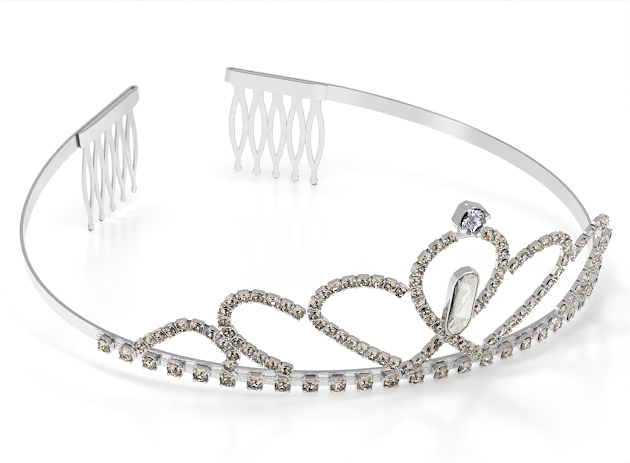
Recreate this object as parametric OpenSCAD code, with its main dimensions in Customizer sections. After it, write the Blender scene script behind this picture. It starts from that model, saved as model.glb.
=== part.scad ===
// Tiara: a flat sprung headband with a comb at each end, a row of set stones
// along its front, and seven curls of stone chain standing on that row.
// The front rests at the -Y side. X runs from the viewer's left to right.

/* [Headband] */
// Radii of the band's five equal arcs, from the front centre back to a comb
arc_radii = [76, 67, 59, 57.5, 75];
// Length along the band of each of those arcs
arc_run = 34.6; // [34:0.1:35.2]
// Width of the flat strip
band_w = 4.2; // [4:0.1:4.3]
// Thickness of the flat strip
band_t = 0.85; // [0.7:0.05:0.9]
// Outward lean of the strip at the front centre, in degrees
lean_front = 18; // [15:1:20]
// Outward lean of the strip at the combs, in degrees
lean_back = 1.5; // [0:0.5:3]
// Height of the strip's middle line above the table at the front
front_height = 3.42; // [3.42:0.02:3.8]
// Rise of the strip's middle line over the bowed stretch
bow_rise = 14.6; // [13:0.2:16]
// Length along the strip of the bowed stretch, from the front centre
bow_run = 141; // [130:1:150]
// Rise of the straight comb ends for each millimetre along them
end_slope = 0.173; // [0.15:0.001:0.19]

/* [Combs] */
// Length of each straight end that holds a comb
bar_len = 24.3; // [23:0.1:25]
// Thickness of the comb's sheet metal
comb_t = 0.6; // [0.5:0.05:0.7]
// Clearance between the comb's sheet and each fold of the strip
clamp_gap = 0.08; // [0.05:0.01:0.1]
// Number of teeth
tooth_count = 5; // [5:1:5]
// Angle of the teeth to the bar's square, in degrees
tooth_rake = 8.3; // [6:0.1:10]

/* [Base row] */
// Distance from stone to stone along the band
base_pitch = 6.2; // [6:0.05:6.3]
// Number of stones on each side of the middle one
base_side = 13; // [11:1:13]
// Width of each square cup
base_cup = 3.95; // [3.8:0.05:4]
// Diameter of each stone
base_stone = 3.2; // [3:0.05:3.25]
// Height of the stones' centres from the strip's middle line
base_up = -0.85; // [-0.85:0.05:-0.7]

/* [Curls] */
// Width of each square cup
curl_cup = 3.0; // [2.8:0.05:3.05]
// Diameter of each stone
curl_stone = 2.55; // [2.3:0.05:2.55]
// Start of each inner curl along the band, and its height above the band's middle
inner_start = [12.26, 4.4];
// Heading of each inner curl at its start, in degrees above the band
inner_head = 32;
// Arcs of each inner curl as [run, turn in degrees]
inner_bends = [[21, 12], [5.9, 55.7], [10.6, 69.9], [11.4, 56.8]];
// Number of stones in each inner curl
inner_count = 17; // [15:1:17]
// Start of each middle curl
middle_start = [36.54, 3.81];
// Heading of each middle curl at its start
middle_head = 21.7;
// Arcs of each middle curl
middle_bends = [[13, 26.5], [12.4, 82.1], [6.9, 64.5], [8, 26.2]];
// Number of stones in each middle curl
middle_count = 14; // [12:1:14]
// Start of each outer curl
outer_start = [48.86, 3.42];
// Heading of each outer curl at its start
outer_head = 136.1;
// Arcs of each outer curl
outer_bends = [[4.3, -78], [5.7, -13.4], [8.5, -83], [13.6, -4.7]];
// Number of stones in each outer curl
outer_count = 10; // [8:1:10]
// Start of the centre loop's front strand, on the other side of the middle from where it ends
front_start = [-9.27, 2.3];
// Heading of the front strand at its start
front_head = 35.3;
// Arcs of the front strand
front_bends = [[18.5, 16], [11.6, 21.9], [8, 33.1], [8.8, 42.7]];
// Number of stones in the front strand
front_count = 15; // [13:1:15]
// Start of the centre loop's back strand
back_start = [-9.23, 2.42];
// Heading of the back strand at its start
back_head = 22.8;
// Arcs of the back strand
back_bends = [[16, 31.4], [10, 10.1], [13.5, 49.3], [6.7, 34.9]];
// Number of stones in the back strand
back_count = 16; // [14:1:16]
// Length along the back strand to the crossing
cross_at = 12.3; // [12.1:0.1:12.5]
// How far the back strand dips behind the front one where they cross
cross_drop = 1.75; // [1.7:0.05:1.9]

/* [Centre stones] */
// Width of the long stone
oval_w = 6.2; // [5.8:0.1:6.3]
// Length of the long stone
oval_l = 18.4; // [17:0.1:18.6]
// Height of the long stone's centre above the band's middle
oval_up = 22.2; // [22:0.1:22.6]
// How far both centre settings sit to the viewer's left
centre_shift = 0.3; // [0:0.1:0.4]
// Diameter of the round stone at the top
top_stone_d = 6.8; // [6:0.1:6.9]
// Height of the round stone's centre above the band's middle
top_up = 44.7; // [44.6:0.1:45.2]
// Lean of the round setting, in degrees
top_lean = 9; // [5:1:12]

/* [Hidden] */

half = arc_run * len(arc_radii);
// Shift that puts the origin under the middle of the whole tiara
depth_shift = 56.95;
// Clearance around each stone in its cup
seat = 0.08;
// Number of sides of the small stones
sides = 8;

// Depths outwards from the strip's middle surface, for the base row and for the curls
strip_face = band_t / 2;
base_back = strip_face + 0.14;
base_rim = 1.85;
base_tip = 2.25;
ladder_t = 0.35;
curl_back = base_back + ladder_t + 0.08;
curl_rim = 2.05;
curl_tip = 2.5;

metal = [0.80, 0.81, 0.83];
glass = [0.86, 0.84, 0.80];

function unit(v) = v / norm(v);

// Plan of the strip: place and heading after each arc
function turn_of(i) = arc_run / arc_radii[i] * 180 / PI;
function after_arc(p, r, t) =
    [p.x + r * (sin(t) - sin(p.z)), p.y - r * (cos(t) - cos(p.z)), t];
function arc_start(i) = i == 0 ? [0, 0, 0] :
    let (p = arc_start(i - 1)) after_arc(p, arc_radii[i - 1], p.z + turn_of(i - 1));
STARTS = [for (i = [0:len(arc_radii)]) arc_start(i)];
function plan(a) =
    let (i = min(floor(a / arc_run), len(arc_radii)), p = STARTS[i], d = a - i * arc_run)
    i == len(arc_radii) ? [p.x + d * cos(p.z), p.y + d * sin(p.z), p.z] :
    after_arc(p, arc_radii[i], p.z + d / arc_radii[i] * 180 / PI);

// Height of the strip's middle line, and its slope
function bow(a) = a < bow_run ? bow_rise * pow(a / bow_run, 2) :
    bow_rise + 2 * bow_rise / bow_run * (a - bow_run);
function height(a) = front_height + (a <= half ? bow(a) : bow(half) + end_slope * (a - half));
function slope(a) = a > half ? end_slope : 2 * bow_rise / pow(bow_run, 2) * min(a, bow_run);
function lean(a) = lean_front + (lean_back - lean_front) * pow(min(a / half, 1), 1.5);

// Place, level direction, leaning upward direction and outward direction at a length
// along the strip from the front centre, negative to the viewer's left
function frame(s) =
    let (a = abs(s), side = s < 0 ? -1 : 1, p = plan(a), l = lean(a), out = [side * sin(p.z), -cos(p.z), 0])
    [[side * p.x, p.y - depth_shift, height(a)], [cos(p.z), side * sin(p.z), 0],
        out * sin(l) + [0, 0, cos(l)], out * cos(l) - [0, 0, sin(l)]];
function spot(s, up, out) = let (f = frame(s)) f[0] + up * f[2] + out * f[3];

// The same frame turned to run with the strip's slope: place, along, up, out
function strip_frame(s) =
    let (f = frame(s), side = s < 0 ? -1 : 1, along = unit(f[1] + [0, 0, side * slope(abs(s))]),
        out = unit(f[3] - (f[3] * along) * along))
    [f[0], along, cross(out, along), out];

module put(f) {
    multmatrix([
        [f[1].x, f[2].x, f[3].x, f[0].x],
        [f[1].y, f[2].y, f[3].y, f[0].y],
        [f[1].z, f[2].z, f[3].z, f[0].z],
        [0, 0, 0, 1]]) children();
}

// A bar from a to b, with its width across the outward direction
module bar(a, b, out, width, thick) {
    along = unit(b - a);
    normal = unit(out - (out * along) * along);
    put([a, along, cross(normal, along), normal])
        translate([0, -width / 2, 0]) cube([norm(b - a), width, thick]);
}

// Headband: one strip swept round the head, each end folded back inwards over a comb
fold_r = (band_t + comb_t) / 2 + clamp_gap;
band_steps = 12 * len(arc_radii);
fold_steps = 6;

// Stations of one half, from the front to the end of the fold: place, up, outward across the strip
function half_stations(side) =
    let (end = strip_frame(side * (half + bar_len)), root = strip_frame(side * (half + 0.001)),
        away = side * end[1], hub = end[0] - fold_r * end[3])
    concat(
        [for (i = [1:band_steps]) let (f = strip_frame(side * half * i / band_steps)) [f[0], f[2], f[3]]],
        [for (j = [0:fold_steps]) let (a = 180 * j / fold_steps, n = end[3] * cos(a) + away * sin(a))
            [hub + fold_r * n, end[2], n]],
        [[root[0] - 2 * fold_r * end[3], end[2], -end[3]]]);

function backwards(v) = [for (i = [len(v) - 1:-1:0]) v[i]];

module headband() {
    middle = strip_frame(0);
    stations = concat(backwards(half_stations(-1)), [[middle[0], middle[2], middle[3]]], half_stations(1));
    corners = [[-1, -1], [1, -1], [1, 1], [-1, 1]];
    points = [for (s = stations, c = corners) s[0] + c[0] * band_w / 2 * s[1] + c[1] * band_t / 2 * s[2]];
    last = len(stations) - 1;
    color(metal)
        polyhedron(points, concat(
            [[0, 1, 2, 3]],
            [for (i = [0:last - 1], j = [0:3]) let (k = (j + 1) % 4)
                [4 * i + j, 4 * i + 4 + j, 4 * i + 4 + k, 4 * i + k]],
            [[for (j = [3:-1:0]) 4 * last + j]]));
}

// Comb: a stamped sheet whose rail is held in the fold of the strip. Along the bar is x, up is y.
tooth_pitch = bar_len / 4.95;
rail_h = 3.3;

function comb_frame(side) =
    let (f = strip_frame(side * (half + 0.001)), away = side * f[1])
    [f[0] - fold_r * f[3], away, f[2], side * f[3]];

// Length that stands the tooth nearest the front on the table
function tooth_length(side) =
    let (f = comb_frame(side), down = sin(tooth_rake) * f[1].z + cos(tooth_rake) * f[2].z)
    (f[0] + f[1] * tooth_pitch / 2 * 0.99 - f[2] * band_w / 2).z / down;

// A pointed oval between two arcs, centred, standing along y
module pointed_oval(width, length) {
    r = (pow(length / 2, 2) + pow(width / 2, 2)) / width;
    intersection() {
        translate([r - width / 2, 0]) circle(r = r, $fn = 180);
        translate([width / 2 - r, 0]) circle(r = r, $fn = 180);
    }
}

module tooth(length) {
    bulb = 0.43 * tooth_pitch;
    difference() {
        union() {
            translate([-0.28 * tooth_pitch, -0.24 * length]) square([0.56 * tooth_pitch, 0.24 * length + 1]);
            translate([0, -0.43 * length]) pointed_oval(1.02 * tooth_pitch, 0.92 * length);
            translate([-0.175 * tooth_pitch, -0.96 * length]) square([0.35 * tooth_pitch, 0.2 * length]);
            translate([0, -length + bulb / 2]) circle(d = bulb, $fn = 32);
        }
        translate([0, -0.45 * length]) pointed_oval(0.4 * tooth_pitch, 0.565 * length);
    }
}

module comb(side) {
    length = tooth_length(side);
    put(comb_frame(side))
        linear_extrude(comb_t, center = true)
            union() {
                translate([0.3, -band_w / 2]) square([bar_len - 0.6, rail_h]);
                for (i = [0:tooth_count - 1])
                    translate([(i + 0.5) * tooth_pitch * 0.99, -band_w / 2]) rotate(tooth_rake * -1) tooth(length);
            }
}

module comb_left() {
    color(metal) comb(-1);
}

module comb_right() {
    color(metal) comb(1);
}

// Cup: a square box open at the front, with a prong at each corner. Out is z.
module cup(width, back, rim, tip, stone, floor) {
    notch = width * 0.56;
    difference() {
        translate([-width / 2, -width / 2, back]) cube([width, width, tip - back]);
        translate([0, 0, floor]) rotate(180 / sides) cylinder(d = stone + 2 * seat, h = tip, $fn = sides);
        for (a = [0, 90])
            rotate(a) translate([-width, -notch / 2, rim]) cube([2 * width, notch, tip]);
    }
}

// Stone: table, crown, girdle and a pointed pavilion. Out is z.
module stone(d, table_z, girdle_z, tip_z) {
    ring = [for (i = [0:sides - 1]) let (a = 360 * (i + 0.5) / sides) [cos(a), sin(a)]];
    points = concat(
        [for (p = ring) [p.x * d * 0.29, p.y * d * 0.29, table_z]],
        [for (p = ring) [p.x * d / 2, p.y * d / 2, girdle_z]],
        [[0, 0, tip_z]]);
    polyhedron(points, concat(
        [[for (i = [sides - 1:-1:0]) i]],
        [for (i = [0:sides - 1]) let (j = (i + 1) % sides) [i, j, sides + j, sides + i]],
        [for (i = [0:sides - 1]) let (j = (i + 1) % sides) [sides + i, sides + j, 2 * sides]]));
}

// Base row: cups on the front of the strip, joined by a ladder of wire in front of it
function base_place(i) = let (f = strip_frame(i * base_pitch)) [f[0] + base_up * f[2], f[1], f[2], f[3]];
function ladder_point(i, x, up) = let (f = base_place(i)) f[0] + x * f[1] + up * f[2] + base_back * f[3];

module base_chain() {
    post = 0.4;
    post_x = base_cup / 2 - 0.45;
    rail_up = band_w / 2 - base_up - 0.2;
    color(metal)
        union() {
            for (i = [-base_side:base_side])
                put(base_place(i)) {
                    cup(base_cup, base_back, base_rim, base_tip, base_stone, base_back + 0.3);
                    for (x = [-post_x - post / 2, post_x - post / 2])
                        translate([x, base_cup / 2 - 0.3, base_back]) cube([post, rail_up - base_cup / 2 + 0.4, ladder_t]);
                }
            for (i = [-base_side:base_side - 1]) {
                bar(ladder_point(i, 0.5, 0.95), ladder_point(i + 1, -0.5, 0.95), base_place(i + 0.5)[3], 0.4, ladder_t);
                bar(ladder_point(i, -0.2, rail_up), ladder_point(i + 1, 0.2, rail_up), base_place(i + 0.5)[3], 0.42,
                    ladder_t);
            }
            for (i = [-base_side, base_side])
                bar(ladder_point(i, -post_x, rail_up), ladder_point(i, post_x, rail_up), base_place(i)[3], 0.42,
                    ladder_t);
        }
}

module base_stones() {
    color(glass)
        for (i = [-base_side:base_side])
            put(base_place(i)) stone(base_stone, base_tip - 0.02, base_rim, base_back + 0.4);
}

// Curl: a path of arcs on the leaning surface, as length along the band and height above it
function bend(p, run, turn) =
    let (r = turn == 0 ? 0 : run / turn * 180 / PI, t = p.z + turn)
    turn == 0 ? [p.x + run * cos(p.z), p.y + run * sin(p.z), p.z] :
    [p.x + r * (sin(t) - sin(p.z)), p.y - r * (cos(t) - cos(p.z)), t];
function run_to(rows, n) = n == 0 ? 0 : rows[n - 1][0] + run_to(rows, n - 1);
function walk(p, rows, d, i = 0) =
    i == len(rows) - 1 || d <= rows[i][0] ? bend(p, d, rows[i][1] * d / rows[i][0]) :
    walk(bend(p, rows[i][0], rows[i][1]), rows, d - rows[i][0], i + 1);

// Dip of a strand that passes behind another, at a distance from the crossing
dip_flat = 2.4;
dip_ramp = 8.6;
function dip(x) = let (t = (abs(x) - dip_flat) / dip_ramp)
    t <= 0 ? 1 : t < 1 ? (1 + cos(180 * t)) / 2 : 0;
function on_curl(side, start, head, rows, d, drop, cross_at) =
    let (p = walk([start.x, start.y, head], rows, d)) spot(side * p.x, p.y, -drop * dip(d - cross_at));

// Places of the cups: evenly spaced by true length, from the start to the end of the path
step = 0.5;
function curl_places(side, start, head, rows, count, drop = 0, cross_at = 0) =
    let (length = run_to(rows, len(rows)), n = ceil(length / step),
        at = function (d) on_curl(side, start, head, rows, d, drop, cross_at),
        trace = [for (i = 0, l = 0; i <= n; l = l + norm(at((i + 1) * length / n) - at(i * length / n)), i = i + 1)
            [l, i * length / n]],
        total = trace[n][0])
    [for (k = [0:count - 1])
        let (d = lookup(k * total / (count - 1), trace), p = walk([start.x, start.y, head], rows, d),
        x = unit(at(d + 0.1) - at(d - 0.1)), out = frame(side * p.x)[3], z = unit(out - (out * x) * x))
        [at(d), x, cross(z, x), z]];

module chain(places) {
    for (f = places)
        put(f) cup(curl_cup, curl_back, curl_rim, curl_tip, curl_stone, curl_back + 0.34);
    for (i = [0:len(places) - 2])
        bar(places[i][0] + (curl_back + 0.05) * places[i][3], places[i + 1][0] + (curl_back + 0.05) * places[i + 1][3],
            places[i][3] + places[i + 1][3], 1.1, 0.25);
}

module chain_stones(places) {
    for (f = places)
        put(f) stone(curl_stone, curl_tip - 0.03, curl_rim, curl_back + 0.42);
}

function inner(side) = curl_places(side, inner_start, inner_head, inner_bends, inner_count);
function middle(side) = curl_places(side, middle_start, middle_head, middle_bends, middle_count);
function outer(side) = curl_places(side, outer_start, outer_head, outer_bends, outer_count);

module curl_left_outer() {
    color(metal) union() chain(outer(-1));
}

module curl_left_middle() {
    color(metal) union() chain(middle(-1));
}

module curl_left_inner() {
    color(metal) union() chain(inner(-1));
}

module curl_right_inner() {
    color(metal) union() chain(inner(1));
}

module curl_right_middle() {
    color(metal) union() chain(middle(1));
}

module curl_right_outer() {
    color(metal) union() chain(outer(1));
}

module curl_left_outer_stones() {
    color(glass) chain_stones(outer(-1));
}

module curl_left_middle_stones() {
    color(glass) chain_stones(middle(-1));
}

module curl_left_inner_stones() {
    color(glass) chain_stones(inner(-1));
}

module curl_right_inner_stones() {
    color(glass) chain_stones(inner(1));
}

module curl_right_middle_stones() {
    color(glass) chain_stones(middle(1));
}

module curl_right_outer_stones() {
    color(glass) chain_stones(outer(1));
}

// Centre loop: two strands that cross low down and meet at the top. The one that rises to the
// right passes behind.
front_strand = curl_places(-1, front_start, front_head, front_bends, front_count);
back_strand = curl_places(1, back_start, back_head, back_bends, back_count, cross_drop, cross_at);

module centre_loop() {
    a = front_strand[len(front_strand) - 1];
    b = back_strand[len(back_strand) - 1];
    join = (curl_back + 0.03) * frame(0)[3] + 0.42 * frame(0)[2];
    color(metal)
        union() {
            chain(front_strand);
            chain(back_strand);
            bar(a[0] + join, b[0] + join, frame(0)[3], 1, 0.25);
        }
}

module centre_loop_stones() {
    color(glass) {
        chain_stones(front_strand);
        chain_stones(back_strand);
    }
}

// Long stone and its setting, in front of the crossing
oval_back = curl_tip + 0.12;
oval_rim = 4.95;
oval_place = let (f = frame(-centre_shift)) [f[0] + oval_up * f[2], f[1], f[2], f[3]];

module slot(width, length, thick) {
    for (y = [-1, 1])
        translate([0, y * (length - width) / 2, 0]) cylinder(d = width, h = thick, $fn = 48);
    translate([-width / 2, -(length - width) / 2, 0]) cube([width, length - width, thick]);
}

module oval_setting() {
    wall = 0.35;
    color(metal)
        put(oval_place)
            difference() {
                translate([0, 0, oval_back])
                    slot(oval_w + 2 * wall + 2 * seat, oval_l + 2 * wall + 2 * seat, oval_rim - oval_back);
                translate([0, 0, oval_back + 0.35]) slot(oval_w + 2 * seat, oval_l + 2 * seat, 5);
            }
}

// Outline of the long stone, drawn in by a margin
function slot_ring(width, length, inset, z, n = 6) =
    [for (end = [0, 1], i = [0:n]) let (a = 180 * end + 180 * i / n, r = width / 2 - inset)
        [r * cos(a), r * sin(a) + (end == 0 ? 1 : -1) * (length - width) / 2, z]];

module oval_stone() {
    rings = [
        slot_ring(oval_w, oval_l, 1.3, oval_rim + 0.45),
        slot_ring(oval_w, oval_l, 0, oval_rim - 0.15),
        slot_ring(oval_w, oval_l, 1.7, oval_back + 0.45)];
    n = len(rings[0]);
    color(glass)
        put(oval_place)
            polyhedron([for (r = rings, p = r) p], concat(
                [[for (i = [n - 1:-1:0]) i]],
                [for (k = [0, 1], i = [0:n - 1]) let (j = (i + 1) % n) [k * n + i, k * n + j, k * n + n + j, k * n + n + i]],
                [[for (i = [0:n - 1]) 2 * n + i]]));
}

// Round stone and its four-pronged setting, on top of the loop
top_out = 3.4;
top_depth = 4.1;
top_place = let (f = frame(-centre_shift), z = [0, -cos(top_lean), -sin(top_lean)], x = [1, 0, 0])
    [spot(-centre_shift, top_up, top_out), x, cross(z, x), z];

module top_setting() {
    outer_d = top_stone_d + 2 * seat + 0.7;
    color(metal)
        put(top_place)
            difference() {
                translate([0, 0, -top_depth]) cylinder(d = outer_d, h = top_depth, $fn = 48);
                translate([0, 0, -top_depth + 0.5]) cylinder(d = top_stone_d + 2 * seat, h = top_depth, $fn = 48);
                for (a = [0, 90])
                    rotate(a) translate([-5, 0, 0.1]) rotate([0, 90, 0]) cylinder(d = 3.6, h = 10, $fn = 48);
            }
}

module top_stone() {
    n = 16;
    ring = [for (i = [0:n - 1]) [cos(360 * i / n), sin(360 * i / n)]];
    points = concat(
        [for (p = ring) [p.x * top_stone_d * 0.29, p.y * top_stone_d * 0.29, 0]],
        [for (p = ring) [p.x * top_stone_d / 2, p.y * top_stone_d / 2, -1]],
        [[0, 0, -top_depth + 0.75]]);
    color(glass)
        put(top_place)
            polyhedron(points, concat(
                [[for (i = [n - 1:-1:0]) i]],
                [for (i = [0:n - 1]) let (j = (i + 1) % n) [i, j, n + j, n + i]],
                [for (i = [0:n - 1]) let (j = (i + 1) % n) [n + i, n + j, 2 * n]]));
}

headband();
comb_left();
comb_right();
base_chain();
base_stones();
curl_left_outer();
curl_left_middle();
curl_left_inner();
curl_right_inner();
curl_right_middle();
curl_right_outer();
curl_left_outer_stones();
curl_left_middle_stones();
curl_left_inner_stones();
curl_right_inner_stones();
curl_right_middle_stones();
curl_right_outer_stones();
centre_loop();
centre_loop_stones();
oval_setting();
oval_stone();
top_setting();
top_stone();
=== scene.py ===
# %% [markdown]
# # A tiara of stone chain
# This lesson dresses a packed tiara: a sprung silver headband with a comb at each end, a row of set
# stones along its front, and curls of stone chain standing on that row.
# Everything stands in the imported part's own frame. +X runs to the viewer's right, +Y back to the
# combs and +Z up. The front row and the comb tips stand on the floor. Blender's objects are in
# metres, and the jeweller's sizes in this script are in millimetres.

import math

import bmesh
import bpy
from mathutils import Matrix, Vector
from mathutils.geometry import delaunay_2d_cdt


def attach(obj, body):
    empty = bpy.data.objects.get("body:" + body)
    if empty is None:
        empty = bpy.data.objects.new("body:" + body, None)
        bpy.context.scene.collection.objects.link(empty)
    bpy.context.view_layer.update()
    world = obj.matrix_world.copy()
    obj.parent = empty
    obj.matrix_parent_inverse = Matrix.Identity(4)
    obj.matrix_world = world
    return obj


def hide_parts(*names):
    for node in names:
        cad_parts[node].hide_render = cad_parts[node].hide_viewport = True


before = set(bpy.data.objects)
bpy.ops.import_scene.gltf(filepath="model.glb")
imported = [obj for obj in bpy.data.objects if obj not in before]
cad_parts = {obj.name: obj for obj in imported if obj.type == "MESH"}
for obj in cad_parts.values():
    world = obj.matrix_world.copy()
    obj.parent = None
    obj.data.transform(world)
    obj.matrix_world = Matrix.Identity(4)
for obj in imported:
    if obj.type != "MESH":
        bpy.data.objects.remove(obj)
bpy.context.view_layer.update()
MM = 0.001

# %% [markdown]
# ## Camera
# The photograph was taken from the front left and a little above, from over a metre away, so the
# far combs are almost as large as the near stones. A camera can be aimed by eye. Here its place, its
# angles and its long lens were solved from the places of the stones in the photograph, and its axes
# are built from the angles, so that every number is in sight.

# %% Camera
CAMERA_PLACE = (-0.52898, -0.98944, 0.48038)
AZIMUTH, ELEVATION, ROLL = math.radians(-28.054), math.radians(22.484), -0.0046
PHOTO_WIDTH, SENSOR_WIDTH, LENS_IN_PIXELS = 630, 36, 5091.4
FAR_CLIP = 20


def new_object(name, data):
    """An object in the scene that holds a mesh, a curve, a lamp or a camera."""
    made = bpy.data.objects.new(name, data)
    bpy.context.collection.objects.link(made)
    return made


def axes_matrix(across, up, out, place):
    """The matrix that turns X, Y and Z to three directions and moves to a place in metres."""
    return Matrix([[across[i], up[i], out[i], place[i]] for i in range(3)] + [[0, 0, 0, 1]])


toward_camera = Vector(
    (math.sin(AZIMUTH) * math.cos(ELEVATION), -math.cos(AZIMUTH) * math.cos(ELEVATION), math.sin(ELEVATION))
)
level_axis = Vector((math.cos(AZIMUTH), math.sin(AZIMUTH), 0))
up_axis = toward_camera.cross(level_axis)
camera_data = bpy.data.cameras.new("camera")
camera_data.sensor_width = SENSOR_WIDTH
camera_data.lens = LENS_IN_PIXELS * SENSOR_WIDTH / PHOTO_WIDTH
camera_data.clip_end = FAR_CLIP
camera = new_object("camera", camera_data)
camera.matrix_world = axes_matrix(
    level_axis * math.cos(ROLL) + up_axis * math.sin(ROLL),
    up_axis * math.cos(ROLL) - level_axis * math.sin(ROLL),
    toward_camera,
    CAMERA_PLACE,
)
bpy.context.scene.camera = camera
print("lens", round(camera_data.lens, 1), "mm")


# %% [markdown]
# ## Nodes from script
# The sky, every finish and the trees that set the stones are made of nodes. Each could be wired by
# hand in Blender's editor. A few helpers let the script say instead what a node is and what each of
# its inputs holds, a plain value or the socket that feeds it.

# %% Node helpers
def fill(tree, node, inputs):
    """Gives each input of a node its plain value, or links it to the socket that feeds it."""
    for key, value in inputs.items():
        if isinstance(value, bpy.types.NodeSocket):
            tree.links.new(value, node.inputs[key])
        else:
            node.inputs[key].default_value = value


def add(tree, kind, inputs=None, **settings):
    """A node with its settings made and its inputs filled in."""
    node = tree.nodes.new(kind)
    for key, value in settings.items():
        setattr(node, key, value)
    fill(tree, node, inputs or {})
    return node


def ramp(tree, stops, source):
    """A Color Ramp with (place, grey or colour) stops."""
    node = add(tree, "ShaderNodeValToRGB", {"Fac": source})
    while len(node.color_ramp.elements) < len(stops):
        node.color_ramp.elements.new(0.5)
    for element, (place, colour) in zip(node.color_ramp.elements, stops):
        element.position = place
        element.color = (*colour, 1) if isinstance(colour, tuple) else (colour, colour, colour, 1)
    return node.outputs["Color"]


def new_material(name):
    """A material, its node tree and its Principled shader."""
    material = bpy.data.materials.new(name)
    material.use_nodes = True
    tree = material.node_tree
    return material, tree, tree.nodes["Principled BSDF"]


def new_group(name, tree_kind, inputs, outputs):
    """A node group with its (name, kind, value or None) sockets, and the nodes at its two ends."""
    group = bpy.data.node_groups.new(name, tree_kind)
    for direction, sockets in (("INPUT", inputs), ("OUTPUT", outputs)):
        for title, kind, value in sockets:
            socket = group.interface.new_socket(title, in_out=direction, socket_type="NodeSocket" + kind)
            if value is not None:
                socket.default_value = value
    return group, add(group, "NodeGroupInput"), add(group, "NodeGroupOutput")


print("node helpers ready")

# %% [markdown]
# ## Floor
# The tiara lies on a white surface with a faint gloss. A bent sheet of paper is what a studio would
# use, but from above only its flat part shows, so a wide plane with a plain finish is enough.

# %% Floor
FLOOR_HALF = 3
floor_mesh = bpy.data.meshes.new("floor")
corners = [(x * FLOOR_HALF, y * FLOOR_HALF, 0) for x, y in ((-1, -1), (1, -1), (1, 1), (-1, 1))]
floor_mesh.from_pydata(corners, [], [(0, 1, 2, 3)])
floor = new_object("floor", floor_mesh)
floor_white, tree, shader = new_material("floor white")
fill(tree, shader, {"Base Color": (0.93, 0.93, 0.932, 1), "Roughness": 0.16, "Specular IOR Level": 0.35})
floor_mesh.materials.append(floor_white)
print("floor", 2 * FLOOR_HALF, "m across")


# %% [markdown]
# ## Sky
# Jewellery is lit by what it mirrors. In the photograph the metal is bright with hard dark lines, as
# white panels in a dark room give them. A picture of such a room could be wrapped round the scene.
# Here a few ramps draw it: grey walls behind the tiara, and on the camera's side a dark room with
# four bright upright panels and a grey ceiling. One bright board behind lights the tops of the
# comb rails.

# %% Sky
# up the sky, (place, grey): the place is (height + 1) / 2, so 0.5 is the horizon
BACK_WALL = [(0.0, 0.90), (0.5, 0.80), (0.53, 0.50), (0.60, 0.42), (0.80, 0.38), (1.0, 0.44)]
DARK_ROOM = [(0.0, 0.90), (0.5, 0.25), (0.54, 0.0), (0.80, 0.0), (0.90, 0.42), (1.0, 0.50)]
# round the sky, (first edge, last edge, light, dark before, dark after): 0.5 is the front, less is left
PANELS = (
    (0.275, 0.307, 1.2, 0.10, 0.05),
    (0.393, 0.422, 0.9, 0.03, 0.03),
    (0.507, 0.542, 1.4, 0.03, 0.05),
    (0.638, 0.666, 1.0, 0.07, 0.10),
)
PANEL_BLUR, FAR_SIDE = 0.005, 0.20
SKY_STRENGTH = 1.05


def facing(tree, direction, toward, low, high, top=1.0):
    """How well a direction meets another: 0 below the low limit, and top above the high one."""
    dot = add(tree, "ShaderNodeVectorMath", {0: direction, 1: toward}, operation="DOT_PRODUCT")
    limits = {"Value": dot.outputs["Value"], "From Min": low, "From Max": high, "To Max": top}
    return add(tree, "ShaderNodeMapRange", limits, interpolation_type="SMOOTHSTEP").outputs["Result"]


def mixed(tree, factor, first, second, blend="MIX"):
    """Two colours mixed or added."""
    inputs = {"Factor": factor, "A": first, "B": second}
    return add(tree, "ShaderNodeMix", inputs, data_type="RGBA", blend_type=blend).outputs["Result"]


studio = bpy.data.worlds.new("studio")
studio.use_nodes = True
bpy.context.scene.world = studio
tree = studio.node_tree
direction = add(tree, "ShaderNodeTexCoord").outputs["Generated"]
parts = add(tree, "ShaderNodeSeparateXYZ", {0: direction}).outputs
height = add(tree, "ShaderNodeMapRange", {"From Min": -1, "From Max": 1, "Value": parts["Z"]})
forward = add(tree, "ShaderNodeMath", {0: parts["Y"], 1: -1.0}, operation="MULTIPLY")
around = add(tree, "ShaderNodeMath", {0: parts["X"], 1: forward.outputs[0]}, operation="ARCTAN2")
whole_turn = {"From Min": -math.pi, "From Max": math.pi, "Value": around.outputs[0]}
angle = add(tree, "ShaderNodeMapRange", whole_turn)
panel_stops = [(0.0, FAR_SIDE)]
for first, last, light, dark_before, dark_after in PANELS:
    panel_stops += [(first - PANEL_BLUR, dark_before), (first, light)]
    panel_stops += [(last, light), (last + PANEL_BLUR, dark_after)]
panel_stops.append((1.0, FAR_SIDE))
room = ramp(tree, DARK_ROOM, height.outputs["Result"])
panels = ramp(tree, panel_stops, angle.outputs["Result"])
in_front = mixed(tree, 1.0, room, panels, "ADD")
behind = ramp(tree, BACK_WALL, height.outputs["Result"])
walls = mixed(tree, facing(tree, direction, (0.47, 0.88, 0), -0.45, -0.1), in_front, behind)
board = facing(tree, direction, (0.42, 0.75, 0.51), 0.94, 0.965, 0.6)
lit = mixed(tree, 1.0, walls, board, "ADD")
fill(tree, tree.nodes["Background"], {"Color": lit, "Strength": SKY_STRENGTH})
print("sky nodes", len(tree.nodes))

# %% [markdown]
# ## Lamps
# The shadow in the photograph is short and soft. The sky alone would leave almost none, and a small
# lamp would draw a hard one. Two large lamps cast it, one behind and one above the front, and three
# more only fill and cast none. The three overhead stay out of mirrors, because the metal would show
# them as bright squares, and the two low ones at the front add their glints.

# %% Lamps
LAMP_SIZE = 0.6
AIM = Vector((0, 0, 0.02))


def soft_lamp(name, place, power, shadow, mirrored):
    """A square lamp turned to the tiara."""
    data = bpy.data.lights.new(name, "AREA")
    data.size, data.energy, data.use_shadow = LAMP_SIZE, power, shadow
    lamp = new_object(name, data)
    lamp.location = place
    lamp.rotation_euler = (AIM - Vector(place)).to_track_quat("-Z", "Y").to_euler()
    lamp.visible_glossy = mirrored


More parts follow.
